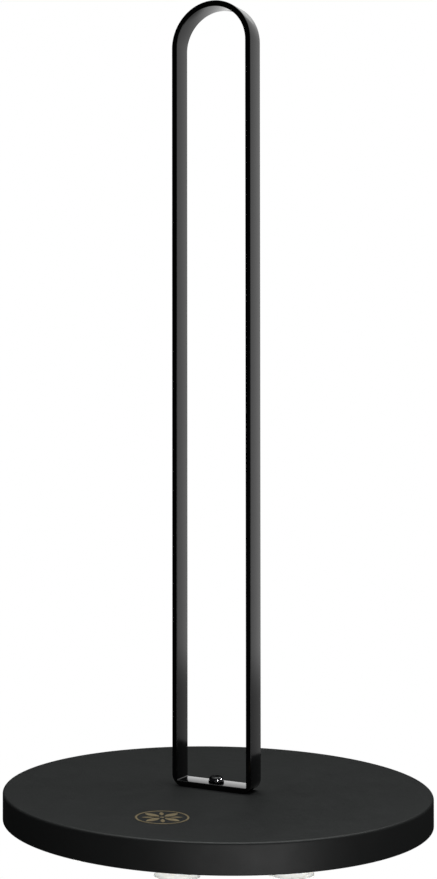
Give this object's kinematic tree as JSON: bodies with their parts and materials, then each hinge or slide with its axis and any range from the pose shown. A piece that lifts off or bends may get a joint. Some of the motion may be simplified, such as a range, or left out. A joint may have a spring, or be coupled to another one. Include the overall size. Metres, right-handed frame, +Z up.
{
  "type": "paper towel holder",
  "caption": "Free-standing paper towel holder: a tall closed loop of flat black bar screwed upright to a round weighted matt black board on pale suction feet.",
  "frame": {"origin": "centre of the circle on which the feet stand, at the surface under them", "axes": "+Z up along the loop, +X along the loop's width, -Y to the front, where the mark is"},
  "size_m": [0.17, 0.17, 0.335],
  "materials": {
    "board_paint": "matt black paint",
    "plated_steel": "zinc plated",
    "black_powder_coat": "gloss",
    "blackened_steel": "gloss black",
    "insert_brass": "turned",
    "gold_foil": "satin foil",
    "silicone": "translucent"
  },
  "bodies": {
    "root": {"base_disc": "board_paint", "ballast_ring": "plated_steel", "ballast_screws": "plated_steel", "loop": "black_powder_coat", "clamp_screw": "blackened_steel", "lock_washer": "blackened_steel", "threaded_insert": "insert_brass", "mark_foil": "gold_foil", "foot_1": "silicone", "foot_2": "silicone", "foot_3": "silicone", "foot_4": "silicone", "foot_5": "silicone", "foot_6": "silicone", "foot_7": "silicone", "foot_8": "silicone"}
  },
  "joints": []
}
